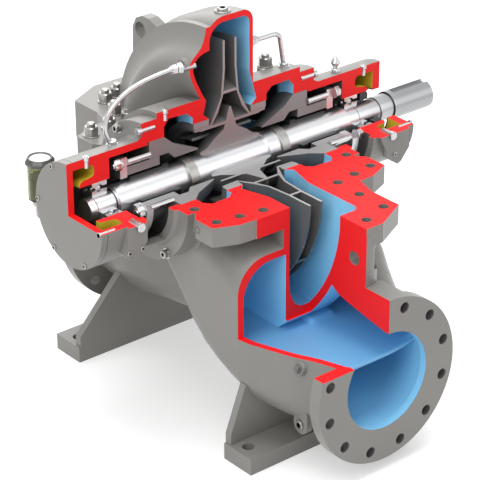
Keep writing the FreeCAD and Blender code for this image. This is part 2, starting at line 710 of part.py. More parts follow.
tube = size("tube_dia") / 2
wall = size("channel_half") + size("channel_wall")
pipe("flush_tube_nde", [(-106.9, 14, 222), (-128, 15, 219), (-232, 24, 178), (-262, 26, 128), (-262, 26, 82)],
     tube, 58)
pipe("flush_tube_de", [(wall + 0.4, 22, 224), (146, 26, 221), (158, 26, 149)], tube, 18)

doc.recompute()
faults = []
for thing in doc.Objects:
    if "Invalid" in thing.State or "Error" in thing.State:
        faults.append(thing.Name + " " + str(thing.State))
for name, thing in nodes.items():
    if thing.Shape.isNull() or not thing.Shape.isValid():
        faults.append("bad shape " + name)
if faults:
    raise RuntimeError("; ".join(faults))
os.makedirs("parts", exist_ok=True)
for name, thing in nodes.items():
    thing.Shape.exportStep("parts/%s.step" % name)
    print(name, thing.Shape.ShapeType, len(thing.Shape.Solids), [round(v) for v in (thing.Shape.BoundBox.XMin,
          thing.Shape.BoundBox.XMax, thing.Shape.BoundBox.YMin, thing.Shape.BoundBox.YMax, thing.Shape.BoundBox.ZMin,
          thing.Shape.BoundBox.ZMax)], round(thing.Shape.Volume / 1000))
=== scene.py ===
import math
import bpy
import bmesh
import numpy as np
from mathutils import Matrix, Vector


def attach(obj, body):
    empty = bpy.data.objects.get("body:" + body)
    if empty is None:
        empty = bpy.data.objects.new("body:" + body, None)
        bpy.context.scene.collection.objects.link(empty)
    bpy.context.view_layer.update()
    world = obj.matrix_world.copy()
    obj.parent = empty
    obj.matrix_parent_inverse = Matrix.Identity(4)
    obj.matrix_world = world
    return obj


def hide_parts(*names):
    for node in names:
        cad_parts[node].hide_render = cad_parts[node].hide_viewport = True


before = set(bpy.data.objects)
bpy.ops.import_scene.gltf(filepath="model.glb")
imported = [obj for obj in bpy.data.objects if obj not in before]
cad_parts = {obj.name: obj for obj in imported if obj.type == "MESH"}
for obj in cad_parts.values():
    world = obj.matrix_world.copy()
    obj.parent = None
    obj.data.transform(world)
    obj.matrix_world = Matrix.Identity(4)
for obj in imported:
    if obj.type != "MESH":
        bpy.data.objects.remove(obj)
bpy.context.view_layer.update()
AXIS = 0.485            # height of the shaft axis above the feet, metres
MM = 0.001
FRONT_CUT = -0.236      # plane across Y that opens the suction branch
LOW_CUT = 0.2485        # level plane that opens the suction branch
OILER = (-352, 140, 0)  # centre of the oiler cup, millimetres from the shaft axis

# Camera at the photograph's angle: its three directions and its place were solved from matched points

eye = bpy.data.cameras.new("eye")
eye.lens = 164.26
eye.sensor_width = 36.0
camera = bpy.data.objects.new("eye", eye)
right = Vector((0.77260, -0.63488, -0.00413))
up = Vector((0.29059, 0.34783, 0.89139))
back = Vector((-0.56449, -0.68988, 0.45322))
turn = Matrix((right, up, back)).transposed().to_4x4()
turn.translation = Vector((-2.4480, -3.0204, 2.2858))
camera.matrix_world = turn
bpy.context.scene.collection.objects.link(camera)
bpy.context.scene.camera = camera
bpy.context.scene.view_settings.view_transform = "Standard"

# Shader helpers


class Nodes:
    """Short calls for the nodes of one material or group."""

    def __init__(self, tree):
        self.tree = tree

    def add(self, kind, **settings):
        node = self.tree.nodes.new("ShaderNode" + kind)
        for key, value in settings.items():
            setattr(node, key, value)
        return node

    def feed(self, socket, item):
        if isinstance(item, bpy.types.NodeSocket):
            self.tree.links.new(item, socket)
        else:
            socket.default_value = item

    def math(self, operation, a, b=0.0, c=0.0):
        node = self.add("Math", operation=operation)
        for socket, item in zip(node.inputs, (a, b, c)):
            self.feed(socket, item)
        return node.outputs[0]

    def all_of(self, *items):
        result = items[0]
        for item in items[1:]:
            result = self.math("MULTIPLY", result, item)
        return result

    def any_of(self, *items):
        result = items[0]
        for item in items[1:]:
            result = self.math("MAXIMUM", result, item)
        return result

    def near(self, item, value, reach=0.0006):
        return self.math("COMPARE", item, value, reach)

    def above(self, item, value):
        return self.math("GREATER_THAN", item, value)

    def below(self, item, value):
        return self.math("LESS_THAN", item, value)

    def between(self, item, low, high):
        return self.math("MULTIPLY", self.above(item, low), self.below(item, high))

    def split(self, vector):
        node = self.add("SeparateXYZ")
        self.feed(node.inputs[0], vector)
        return node.outputs[0], node.outputs[1], node.outputs[2]

    def place(self):
        return self.add("TexCoord").outputs["Object"]

    def facing(self):
        return self.add("TexCoord").outputs["Normal"]

    def mix(self, mask, a, b):
        node = self.add("Mix", data_type="RGBA")
        self.feed(node.inputs["Factor"], mask)
        for socket, item in ((node.inputs[6], a), (node.inputs[7], b)):
            self.feed(socket, item)
        return node.outputs[2]

    def blend(self, mask, a, b):
        node = self.add("Mix", data_type="FLOAT")
        for socket, item in ((node.inputs[0], mask), (node.inputs[2], a), (node.inputs[3], b)):
            self.feed(socket, item)
        return node.outputs[0]

    def noise(self, scale, detail=3.0, rough=0.55, vector=None):
        node = self.add("TexNoise")
        node.inputs["Scale"].default_value = scale
        node.inputs["Detail"].default_value = detail
        node.inputs["Roughness"].default_value = rough
        self.feed(node.inputs["Vector"], vector if vector is not None else self.place())
        return node.outputs["Fac"]

    def ramp(self, item, low, high):
        node = self.add("MapRange")
        node.inputs["From Min"].default_value = low
        node.inputs["From Max"].default_value = high
        self.feed(node.inputs["Value"], item)
        return node.outputs[0]

    def bump(self, height, distance, strength):
        node = self.add("Bump")
        node.inputs["Strength"].default_value = strength
        node.inputs["Distance"].default_value = distance
        self.feed(node.inputs["Height"], height)
        return node.outputs[0]

    def seen(self):
        """1 for what the camera sees directly, mirrored or through glass."""
        rays = self.add("LightPath").outputs
        return self.any_of(rays["Is Camera Ray"], rays["Is Glossy Ray"], rays["Is Transmission Ray"])

    def distance(self, a, b):
        """Length of the diagonal over two legs."""
        squares = self.math("ADD", self.math("MULTIPLY", a, a), self.math("MULTIPLY", b, b))
        return self.math("SQRT", squares)

    def grain(self, height, sawn):
        """Fine cast grain that stops at the sawn faces."""
        return self.bump(self.math("MULTIPLY", height, self.math("SUBTRACT", 1.0, sawn)), 0.00012, 0.5)


def rgb(r, g, b):
    return (r, g, b, 1.0)


def group(name, inputs, outputs, fill):
    """Shader node group with named inputs (name, default) and named outputs."""
    tree = bpy.data.node_groups.new(name, "ShaderNodeTree")
    for label, default in inputs:
        kind = "NodeSocketColor" if isinstance(default, tuple) else "NodeSocketFloat"
        tree.interface.new_socket(label, in_out="INPUT", socket_type=kind).default_value = default
    for label, kind in outputs:
        tree.interface.new_socket(label, in_out="OUTPUT", socket_type="NodeSocket" + kind)
    n = Nodes(tree)
    source = tree.nodes.new("NodeGroupInput")
    sink = tree.nodes.new("NodeGroupOutput")
    for label, item in fill(n, source.outputs).items():
        n.feed(sink.inputs[label], item)
    return tree


def use(n, tree, **values):
    """Places a group in a material with its own values, and gives its outputs."""
    node = n.add("Group")
    node.node_tree = tree
    for label, item in values.items():
        n.feed(node.inputs[label], item)
    return node.outputs


def section_faces(n, given):
    """Flat faces of the cut planes, told by place and facing: 1 on a sawn face, 0 elsewhere."""
    x, y, z = n.split(n.place())
    nx, ny, nz = n.split(n.facing())
    slack = 0.0005
    upper = n.all_of(n.near(y, 0.0), n.below(ny, -0.9), n.above(z, AXIS - 2 * slack))
    level = n.all_of(n.near(z, AXIS), n.above(nz, 0.9), n.below(y, slack))
    front = n.all_of(n.near(y, FRONT_CUT), n.below(ny, -0.9), n.below(x, slack))
    before = n.below(y, FRONT_CUT + slack)
    middle = n.all_of(n.near(x, 0.0), n.below(nx, -0.9), before, n.below(z, AXIS + 2 * slack))
    low = n.all_of(n.near(z, LOW_CUT), n.above(nz, 0.9), n.below(x, slack), before)
    return {"Mask": n.any_of(upper, level, front, middle, low)}


def mottled(n, given):
    """Two sizes of noise that lighten and darken a colour, and raise a fine grain."""
    broad = n.noise(9.0, 4.0)
    fine = n.noise(160.0, 3.0)
    shade = n.math("ADD", n.math("MULTIPLY", broad, 0.6), n.math("MULTIPLY", fine, 0.4))
    shade = n.math("SUBTRACT", shade, 0.5)
    amount = n.math("MULTIPLY", shade, given["Amount"])
    node = n.add("HueSaturation")
    n.feed(node.inputs["Color"], given["Color"])
    n.feed(node.inputs["Value"], n.math("ADD", amount, 1.0))
    rough = n.math("ADD", given["Roughness"], n.math("MULTIPLY", shade, 0.25))
    grain = n.math("ADD", fine, n.noise(620.0, 2.0))
    return {"Color": node.outputs[0], "Roughness": rough, "Grain": grain}


def turned_marks(n, given):
    """Fine rings round the shaft line, from noise stretched across X, for machined steel."""
    x, y, z = n.split(n.place())
    node = n.add("CombineXYZ")
    n.feed(node.inputs[0], n.math("MULTIPLY", x, given["Density"]))
    n.feed(node.inputs[1], n.math("MULTIPLY", y, 4.0))
    n.feed(node.inputs[2], n.math("MULTIPLY", z, 4.0))
    lines = n.noise(1.0, 3.0, 0.6, node.outputs[0])
    rough = n.math("ADD", given["Roughness"], n.math("MULTIPLY", n.math("SUBTRACT", lines, 0.5), 0.22))
    return {"Lines": lines, "Roughness": rough}


SECTION = group("section_faces", [], [("Mask", "Float")], section_faces)
MOTTLE = group("mottled", [("Color", rgb(0.3, 0.3, 0.3)), ("Amount", 0.2), ("Roughness", 0.45)],
               [("Color", "Color"), ("Roughness", "Float"), ("Grain", "Float")], mottled)
TURNED = group("turned_marks", [("Density", 900.0), ("Roughness", 0.2)],
               [("Lines", "Float"), ("Roughness", "Float")], turned_marks)


def material(name, fill, **constants):
    """Principled material; fill gives the sockets that change over the surface, constants the others."""
    made = bpy.data.materials.new(name)
    made.use_nodes = True
    n = Nodes(made.node_tree)
    shader = made.node_tree.nodes["Principled BSDF"]
    for label, value in constants.items():
        shader.inputs[label.replace("_", " ")].default_value = value
    for label, item in (fill(n) if fill else {}).items():
        n.feed(shader.inputs[label], item)
    return made


CAST = rgb(0.250, 0.242, 0.227)
SAWN_RED = rgb(0.86, 0.003, 0.004)
WET_BLUE = rgb(0.30, 0.70, 1.0)
SHELF_BLUE = rgb(0.17, 0.43, 0.71)
OIL_YELLOW = rgb(0.62, 0.50, 0.045)
# near-black painted shade for the deep ends of the suction chambers
PAINTED_SHADE_DARK = rgb(0.012, 0.018, 0.024)

# Inside of the suction branch, as in the casting: depth along Y, half width, floor, roof and corner radius

SUCTION_ROWS = [
    (-0.446, 0.101, -0.392, -0.190, 0.097), (-0.392, 0.113, -0.392, -0.180, 0.092),
    (-0.320, 0.138, -0.380, -0.164, 0.070), (-0.236, 0.162, -0.360, -0.095, 0.068),
    (-0.130, 0.164, -0.310, -0.054, 0.066), (-0.020, 0.162, -0.186, -0.028, 0.060),
]
HALF, FLOOR, ROOF, CORNER = 1, 2, 3, 4
DEEPEST = -0.47  # where the ramps over depth begin

# Other places in the casting, metres: along X from the middle, radius round the shaft line or round a branch

SCROLL_HALF, SCROLL_RADIUS = 0.0505, 0.3232
SLOPE_HALF, SLOPE_RADIUS = 0.068, 0.178
CHAMBER, CHAMBER_RADIUS = (0.088, 0.1625), 0.1345
DELIVERY_DROP, DELIVERY_RADIUS = 0.260, 0.1055
BULGE, BULGE_RING = (-0.0915, -0.0505), (0.1255, 0.2415)
FLANGE_DROP, BOLT_RING, BOLT_DEPTH = 0.291, (0.1300, 0.1650), (-0.4605, -0.4370)
HOUSING_BORE, OIL_ROOM, OIL_OUTER = 0.0490, (0.3255, 0.3745), 0.0890
COVER_SEAM, COVER_RADIUS = 0.374, 0.1030


def suction_curve(column, steps):
    """Stops (depth, value) of one column of the suction rows: cubics between the rows whose end slopes are
    the harmonic mean of the neighbouring slopes, as in the casting."""
    rows = SUCTION_ROWS
    gaps = [b[0] - a[0] for a, b in zip(rows, rows[1:])]
    rates = [(b[column] - a[column]) / g for a, b, g in zip(rows, rows[1:], gaps)]
    slopes = [rates[0]]
    for before, after in zip(rates, rates[1:]):
        slopes.append(0.0 if before * after <= 0 else 2 * before * after / (before + after))
    slopes.append(rates[-1])
    stops = []
    for i, gap in enumerate(gaps):
        here, there = rows[i][column], rows[i + 1][column]
        leaving, arriving = slopes[i] * gap, slopes[i + 1] * gap
        for step in range(steps):
            t = step / steps
            value = ((2 * t ** 3 - 3 * t ** 2 + 1) * here + (t ** 3 - 2 * t ** 2 + t) * leaving
                     + (3 * t ** 2 - 2 * t ** 3) * there + (t ** 3 - t ** 2) * arriving)
            stops.append((rows[i][0] + gap * t, value))
    stops.append((rows[-1][0], rows[-1][column]))
    return stops


def rows_ramp(n, y, column):
    """Looks a column of the suction rows up by depth."""
    stops = suction_curve(column, 4)
    node = n.add("ValToRGB")
    n.feed(node.inputs[0], n.ramp(y, DEEPEST, 0.0))
    bar = node.color_ramp
    while len(bar.elements) < len(stops):
        bar.elements.new(0.5)
    for element, (place, value) in zip(bar.elements, stops):
        element.position = 1 - place / DEEPEST
        element.color = (abs(value), abs(value), abs(value), 1.0)
    gray = n.add("RGBToBW")
    n.feed(gray.inputs[0], node.outputs[0])
    return gray.outputs[0]


def wet_faces(n, given):
    """1 on the walls that water touches: scroll, suction branch, delivery branch and suction chambers; a
    second mask gives painted shade deep in the chambers.
    """
    x, y, z = n.split(n.place())
    nx, ny, nz = n.split(n.facing())
    side = n.math("ABSOLUTE", x)
    high = n.math("SUBTRACT", z, AXIS)
    radius = n.distance(y, high)
    toward = n.math("ADD", n.math("MULTIPLY", ny, y), n.math("MULTIPLY", nz, high))
    toward = n.math("DIVIDE", toward, radius)
    lateral = n.math("MULTIPLY", nx, x)
    lug = n.all_of(n.near(x, -0.040, 0.001), n.above(nx, 0.99), n.above(y, 0.1), n.above(high, 0.03))
    valley = n.all_of(n.above(y, 0.24), n.below(high, -0.1), n.above(nz, 0.8))
    inward = n.all_of(n.any_of(n.below(toward, -0.2), n.below(lateral, -0.015)),
                      n.math("SUBTRACT", 1.0, n.any_of(lug, valley)))
    scroll = n.all_of(n.below(side, SCROLL_HALF), n.below(radius, SCROLL_RADIUS), inward)
    slope = n.all_of(n.below(side, SLOPE_HALF), n.below(radius, SLOPE_RADIUS), inward, n.below(lateral, 0.02))
    chamber = n.all_of(n.between(side, *CHAMBER), n.below(radius, CHAMBER_RADIUS))
    half, corner = rows_ramp(n, y, HALF), rows_ramp(n, y, CORNER)
    floor = n.math("MULTIPLY", rows_ramp(n, y, FLOOR), -1.0)
    roof = n.math("MULTIPLY", rows_ramp(n, y, ROOF), -1.0)
    mid = n.math("MULTIPLY", n.math("ADD", floor, roof), 0.5)
    tall = n.math("MULTIPLY", n.math("SUBTRACT", roof, floor), 0.5)
    # how far a point lies outside the rounded section of the suction branch
    across = n.math("ADD", n.math("SUBTRACT", side, half), corner)
    along = n.math("SUBTRACT", n.math("ABSOLUTE", n.math("SUBTRACT", high, mid)), tall)
    along = n.math("ADD", along, corner)
    far = n.math("MAXIMUM", across, 0.0)
    tip = n.math("MAXIMUM", along, 0.0)
    out = n.distance(far, tip)
    out = n.math("ADD", out, n.math("MINIMUM", n.math("MAXIMUM", across, along), 0.0))
    out = n.math("SUBTRACT", out, corner)
    inner = n.math("SUBTRACT", n.math("MULTIPLY", nz, n.math("SUBTRACT", mid, high)), lateral)
    skin = n.all_of(n.below(side, 0.0625), n.below(radius, 0.346), n.below(y, -0.1))
    branch = n.all_of(n.below(out, 0.0065), n.between(y, -0.4612, -0.012),
                      n.any_of(n.above(inner, 0.012), skin))
    drop = n.math("ADD", high, DELIVERY_DROP)
    to_bore = n.math("ADD", lateral, n.math("MULTIPLY", nz, drop))
    delivery = n.all_of(n.below(n.distance(x, drop), DELIVERY_RADIUS), n.between(y, 0.2, 0.3512),
                        n.below(to_bore, -0.02))
    # painted shade: ramps that darken the suction chambers away from the cut planes, above and below the
    # shaft line
    deep = n.math("MULTIPLY", n.ramp(y, 0.040, 0.052), n.above(high, 0.0))
    under = n.math("MULTIPLY", n.ramp(high, -0.045, -0.060), n.below(high, 0.0))
    return {"Mask": n.any_of(scroll, slope, chamber, branch, delivery),
            "PaintedShade": n.math("MULTIPLY", chamber, n.math("MAXIMUM", deep, under))}


WET = group("wet_faces", [], [("Mask", "Float"), ("PaintedShade", "Float")], wet_faces)


def casing_finish(n):
    """Warm grey painted iron: red on sawn faces, blue on wetted walls, and painted shade that darkens the
    inside of the bulge, the deep ends of the chambers and the bolt holes of the suction flange."""
    paint = use(n, MOTTLE, Color=CAST, Amount=0.16, Roughness=0.33)
    wet = use(n, WET)
    sawn = use(n, SECTION)["Mask"]
    x, y, z = n.split(n.place())
    nx, ny = n.split(n.facing())[:2]
    high = n.math("SUBTRACT", z, AXIS)
    radius = n.distance(y, high)
    wide = n.distance(x, n.math("ADD", high, FLANGE_DROP))
    # painted shade: the inside of the bulge in the upper casing is mixed to a darker grey
    bulge = n.all_of(n.between(x, *BULGE), n.between(radius, *BULGE_RING), n.above(z, AXIS),
                     n.above(nx, -0.3))
    blue = use(n, MOTTLE, Color=WET_BLUE, Amount=0.10, Roughness=0.35)
    colour = n.mix(wet["Mask"], paint["Color"], blue["Color"])
    # painted shade: near-black mixed in deep in the suction chambers
    colour = n.mix(wet["PaintedShade"], colour, PAINTED_SHADE_DARK)
    colour = n.mix(bulge, colour, rgb(0.17, 0.165, 0.158))
    # painted shade: dark grey on the walls of the bolt holes in the suction flange
    bolt_hole_shade = n.all_of(n.between(y, *BOLT_DEPTH), n.between(wide, *BOLT_RING), n.between(ny, -0.3, 0.3))
    colour = n.mix(bolt_hole_shade, colour, rgb(0.13, 0.13, 0.13))
    colour = n.mix(sawn, colour, SAWN_RED)
    return {"Base Color": colour, "Roughness": n.blend(sawn, paint["Roughness"], 0.55),
            "Normal": n.grain(paint["Grain"], sawn)}


def housing_finish(n):
    """Same paint on the bearing housings: red sawn faces, a yellow oil cavity, painted shade that darkens the
    insides and the bore, and a dark seam between housing and cover."""
    paint = use(n, MOTTLE, Color=CAST, Amount=0.16, Roughness=0.33)
    sawn = use(n, SECTION)["Mask"]
    x, y, z = n.split(n.place())
    side = n.math("ABSOLUTE", x)
    high = n.math("SUBTRACT", z, AXIS)
    radius = n.distance(y, high)
    cavity = n.all_of(n.between(side, *OIL_ROOM), n.between(radius, HOUSING_BORE, OIL_OUTER))
    oil = use(n, MOTTLE, Color=OIL_YELLOW, Amount=0.25, Roughness=0.3)
    # painted shade: dark grey on the insides round the shaft and near-black in the bore; the seam line is a
    # dark joint
    inner = n.all_of(n.below(radius, 0.0905), n.below(side, 0.2918))
    shade_and_seam = n.mix(inner, paint["Color"], rgb(0.11, 0.11, 0.105))
    bore = n.all_of(n.below(radius, HOUSING_BORE), n.below(side, OIL_ROOM[1]))
    shade_and_seam = n.mix(bore, shade_and_seam, rgb(0.05, 0.05, 0.05))
    seam = n.all_of(n.near(side, COVER_SEAM, 0.0007), n.above(radius, COVER_RADIUS))
    shade_and_seam = n.mix(seam, shade_and_seam, rgb(0.05, 0.05, 0.05))
    colour = n.mix(cavity, shade_and_seam, oil["Color"])
    colour = n.mix(sawn, colour, SAWN_RED)
    return {"Base Color": colour, "Roughness": n.blend(sawn, paint["Roughness"], 0.55),
            "Normal": n.grain(paint["Grain"], sawn)}


def cut_part(skin, section, rough, amount=0.2):
    """Metal part whose sawn faces have a colour of their own, with a lighter, greyer copy as painted light
    where they lie level and face up.
    """
    level_lit_grey = rgb(*[sum(section[:3]) * 0.42] * 3)

    def fill(n):
        body = use(n, MOTTLE, Color=skin, Amount=amount, Roughness=rough)
        sawn = use(n, SECTION)["Mask"]
        face = use(n, MOTTLE, Color=section, Amount=0.12, Roughness=rough + 0.1)
        # painted light: a lighter, greyer copy of the section colour for sawn faces that face up
        flat = use(n, MOTTLE, Color=level_lit_grey, Amount=0.12, Roughness=rough + 0.1)
        level = n.above(n.split(n.facing())[2], 0.9)
        edge = n.mix(level, face["Color"], flat["Color"])
        return {"Base Color": n.mix(sawn, body["Color"], edge), "Roughness": body["Roughness"],
                "Normal": n.bump(body["Grain"], 0.00008, 0.5)}
    return fill


def steel(rough, density, shade, tint=(1.0, 1.0, 1.0)):
    """Turned steel: rings in the roughness and a faint change of tone along the bar."""
    def fill(n):
        marks = use(n, TURNED, Density=density, Roughness=rough)
        dark = rgb(*(shade * 0.86 * t for t in tint))
        light = rgb(*(shade * t for t in tint))
        return {"Base Color": n.mix(n.ramp(marks["Lines"], 0.35, 0.65), dark, light),
                "Roughness": marks["Roughness"], "Normal": n.bump(marks["Lines"], 0.00003, 0.4)}
    return fill


GROOVES = (-0.3345, -0.2910, 0.3190, 0.3770, 0.4130)  # along X, on the shaft


def grooved_shaft(n):
    """Turned steel with painted shade: dark rings at the grooves and shoulders of the shaft, and a darker
    tone towards the coupling end."""
    plain = steel(0.31, 1500.0, 0.76, (1.0, 1.01, 1.035))(n)
    x = n.split(n.place())[0]
    # painted shade: dark rings where the grooves and shoulders lie
    ring = n.any_of(*[n.near(x, at, 0.0007) for at in GROOVES])
    # painted shade: the bar darkens towards the coupling end
    shaded_toward_coupling = n.mix(n.ramp(x, 0.28, 0.43), plain["Base Color"], rgb(0.36, 0.365, 0.375))
    plain["Base Color"] = n.mix(ring, shaded_toward_coupling, rgb(0.10, 0.10, 0.105))
    return plain


def wet_wall(n):
    """Blue of the shelf in the suction branch."""
    body = use(n, MOTTLE, Color=SHELF_BLUE, Amount=0.08, Roughness=0.38)
    return {"Base Color": body["Color"], "Roughness": body["Roughness"]}


def black_rubber(n):
    """Black rubber with a slight grain."""
    body = use(n, MOTTLE, Color=rgb(0.014, 0.015, 0.017), Amount=0.5, Roughness=0.34)
    return {"Base Color": body["Color"], "Roughness": body["Roughness"],
            "Normal": n.bump(body["Grain"], 0.00006, 0.4)}


def cloudy_oil(n):
    """Olive oil colour with soft clouds."""
    return {"Base Color": n.mix(n.noise(30.0), rgb(0.36, 0.33, 0.04), rgb(0.50, 0.46, 0.07))}


def cap_finish(n):
    """Grey steel rim round a pale plate."""
    x, y, z = n.split(n.place())
    aside, behind = n.math("SUBTRACT", x, OILER[0] * MM), n.math("SUBTRACT", y, OILER[1] * MM)
    plate = n.all_of(n.below(n.distance(aside, behind), 0.0194), n.above(z, AXIS + 0.055))
    return {"Base Color": n.mix(plate, rgb(0.10, 0.10, 0.095), rgb(0.86, 0.87, 0.88))}


MADE = {
    "casing": material("casing_paint", casing_finish, IOR=1.5, Specular_IOR_Level=0.4),
    "housing": material("housing_paint", housing_finish, IOR=1.5, Specular_IOR_Level=0.4),
    "plain": material("plain_paint", cut_part(CAST, CAST, 0.40, 0.16), IOR=1.5, Specular_IOR_Level=0.35),
    "wet": material("wetted_wall", wet_wall, IOR=1.5),
    "iron": material("impeller_iron", cut_part(rgb(0.15, 0.147, 0.143), rgb(0.33, 0.29, 0.285), 0.34),
                     Metallic=0.2),
    "ring": material("wear_ring_metal", cut_part(rgb(0.20, 0.19, 0.185), rgb(0.33, 0.30, 0.295), 0.4),
                     Metallic=0.3),
    "chamber": material("seal_chamber_iron", cut_part(rgb(0.16, 0.158, 0.155), rgb(0.27, 0.25, 0.25), 0.42),
                        Metallic=0.3),
    "shaft": material("shaft_steel", grooved_shaft, Metallic=1.0),
    "sleeve": material("sleeve_steel", steel(0.33, 2600.0, 0.74, (1.0, 1.01, 1.03)), Metallic=1.0),
    "bright": material("bright_steel", steel(0.22, 700.0, 0.58, (1.0, 1.0, 1.01)), Metallic=1.0),
    "zinc": material("zinc_fasteners", steel(0.34, 400.0, 0.42, (1.0, 0.99, 0.96)), Metallic=1.0),
    "black": material("black_seal", black_rubber, IOR=1.5),
    "glass": material("oiler_glass", None, Base_Color=rgb(0.36, 0.37, 0.22), Roughness=0.06, IOR=1.45,
                      Transmission_Weight=1.0, Metallic=0.0),
    "oil": material("oil_fill", cloudy_oil, Roughness=0.15, IOR=1.47),
    "cap": material("oiler_cap_steel", cap_finish, Roughness=0.28, Metallic=0.5),
}

# Finishes of the CAD nodes

FINISHES = {
    "lower_casing": "casing", "upper_casing": "casing", "bearing_bracket": "housing", "end_cover": "housing",
    "wear_ring": "ring", "impeller": "iron", "shaft_sleeve": "sleeve", "shaft": "shaft", "sleeve_nut": "zinc",
    "spacer": "sleeve", "seal_chamber": "chamber", "seal_barrel": "chamber", "gland_plate": "sleeve",
    "gland_studs": "bright", "seal_head": "black", "bearing_outer": "sleeve", "bearing_inner": "sleeve",
    "bearing_balls": "bright", "flush_tube": "bright",
}
for node_name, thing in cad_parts.items():
    key = node_name
    for tail in ("_nde", "_de"):
        if key.endswith(tail):
            key = key[:-len(tail)]
    for slot in thing.material_slots:
        slot.material = MADE[FINISHES[key]]

# Mesh helpers


def grid_faces(rows, columns):
    """Quads of a grid whose columns close on themselves."""
    i, j = np.meshgrid(np.arange(rows - 1), np.arange(columns), indexing="ij")
    k = (j + 1) % columns
    low, high = i * columns, (i + 1) * columns
    return np.stack([low + j, low + k, high + k, high + j], -1).reshape(-1, 4)


def turned(profile, columns=40, sides=0, apothem=0.0):
    """Profile (height, radius) turned about +Z; with sides, the radius stops at the flats of a prism:
    apothem divided by the cosine of the angle from the middle of the flat."""
    profile = np.array(profile, float)
    angle = np.linspace(0, 2 * math.pi, columns, endpoint=False)
    radius = np.repeat(profile[:, 1:2], columns, axis=1)
    if sides:
        step = 2 * math.pi / sides
        flat = apothem / np.cos((angle + step / 2) % step - step / 2)
        radius = np.minimum(radius, flat[None, :])
    points = np.stack([radius * np.cos(angle), radius * np.sin(angle),
                       np.repeat(profile[:, :1], columns, axis=1)], -1)
    return points.reshape(-1, 3), grid_faces(len(profile), columns)


def joined(*parts):
    """Several (points, faces) pairs as one."""
    points, faces, base = [], [], 0
    for p, f in parts:
        points.append(p)
        faces.append(f + base)
        base += len(p)
    return np.concatenate(points), np.concatenate(faces)


def frame_of(axis):
    """Three unit vectors, the last along the axis."""
    c = np.array(axis, float)
    c /= np.linalg.norm(c)
    a = np.cross((0, 0, 1) if abs(c[2]) < 0.9 else (1, 0, 0), c)
    a /= np.linalg.norm(a)
    return np.array([a, np.cross(c, a), c])


def placed(part, spots):
    """Copies a part, made about +Z, to each spot: (place in mm from the shaft axis, direction)."""
    points, faces = part
    return joined(*[(points @ frame_of(axis) + np.array(at, float), faces) for at, axis in spots])


def piece(name, part, finish, body, sharp=32):
    """Puts millimetre points, counted from the shaft axis, into a mesh in metres and lets it ride on a
    body."""
    points, faces = part
    mesh = bpy.data.meshes.new(name)
    points = (np.asarray(points) + np.array([0, 0, AXIS / MM])) * MM
    mesh.from_pydata(points.tolist(), [], np.asarray(faces).tolist())
    work = bmesh.new()
    work.from_mesh(mesh)
    bmesh.ops.remove_doubles(work, verts=work.verts, dist=1e-6)
    bmesh.ops.holes_fill(work, edges=[edge for edge in work.edges if edge.is_boundary], sides=0)
    bmesh.ops.recalc_face_normals(work, faces=work.faces)
    work.to_mesh(mesh)
    work.free()
    mesh.polygons.foreach_set("use_smooth", [True] * len(mesh.polygons))
    mesh.set_sharp_from_angle(angle=math.radians(sharp))
    mesh.materials.append(MADE[finish])
    thing = bpy.data.objects.new(name, mesh)
    bpy.context.scene.collection.objects.link(thing)
    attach(thing, body)
    return thing


def hex_body(across, low, high):
    """Hexagon prism from low to high, its upper edge cut by a chamfer cone."""
    half = across / 2
    corner = half / math.cos(math.pi / 6) + 0.01
    profile = [(low, 0), (low, corner), (high - 0.14 * half, corner), (high, half * 0.93), (high, 0)]
    return turned(profile, 48, 6, half)


def stud_nut(across, reach):
    """Washer, nut and stud end on a face, axis +Z, in shares of the width across flats."""
    stud, rim, thick = across * 0.32, across * 0.62, across * 0.12
    washer = turned([(0, 0), (0, rim), (across * 0.10, rim), (thick, across * 0.58), (thick, 0)], 32)
    nut = hex_body(across, thick, across * 0.80)
    start = across * 0.5
    end = turned([(start, 0), (start, stud), (reach - 1.5, stud), (reach, stud - 1.5), (reach, 0)], 24)
    return joined(washer, nut, end)


def cap_screw(radius, head, sunk=0.0):
    """Socket head screw: cylinder with a six-sided recess in its top."""
    lip, deep = radius * 0.62, head - radius * 0.6
    outer = turned([(-sunk, 0), (-sunk, radius), (head - 0.8, radius), (head, radius - 0.8), (head, lip)], 36)
    hole = turned([(head, lip), (deep, lip), (deep, 0)], 36, 6, radius * 0.50)
    return joined(outer, hole)


def part_turned(profile, start, sweep, steps=36):
    """Closed profile (x, radius) turned about the shaft line from the start angle, counted from +Y towards
    +Z, over the sweep; both ends are flat."""
    x, radius = np.array(profile, float).T
    angle = np.radians(np.linspace(start, start + sweep, steps + 1))[:, None]
    along = np.repeat(x[None, :], steps + 1, axis=0)
    points = np.stack([along, radius * np.cos(angle), radius * np.sin(angle)], -1)
    return points.reshape(-1, 3), grid_faces(steps + 1, len(x))


def pulled(outline, x0, x1):
    """Outline in (y, z) carried straight from x0 to x1; both ends are flat."""
    outline = np.array(outline, float)
    points = np.stack([np.column_stack([np.full(len(outline), x), outline]) for x in (x0, x1)])
    return points.reshape(-1, 3), grid_faces(2, len(outline))


# Directions in which pieces point: the last two along the shaft

UP, FRONT, TO_FREE_END, TO_DRIVE_END = (0, 0, 1), (0, -1, 0), (-1, 0, 0), (1, 0, 0)

# Nuts on the closed rear half of the split flange

REAR_STUDS = [(190, 127), (192, 195), (143, 203), (93, 208), (93, 253), (71, 313), (35, 322)]
spots = [((sign * x, y, 40), UP) for x, y in REAR_STUDS for sign in (-1, 1)]
piece("split_flange_nuts", placed(stud_nut(26, 28), spots), "zinc", "casing")

# Screws that hold the bearing housings to the ring flanges


def screw_circle(x, radius, first):
    """Six places on a circle round the shaft line at x, 60 degrees apart, facing away from the middle,
    with none in the upper front quarter that is sawn away."""
    outward = (math.copysign(1, x), 0, 0)
    found = []
    for k in range(6):
        degrees = first + 60 * k
        if not 90 < degrees % 360 < 180:
            angle = math.radians(degrees)
            found.append(((x, radius * math.cos(angle), radius * math.sin(angle)), outward))
    return found


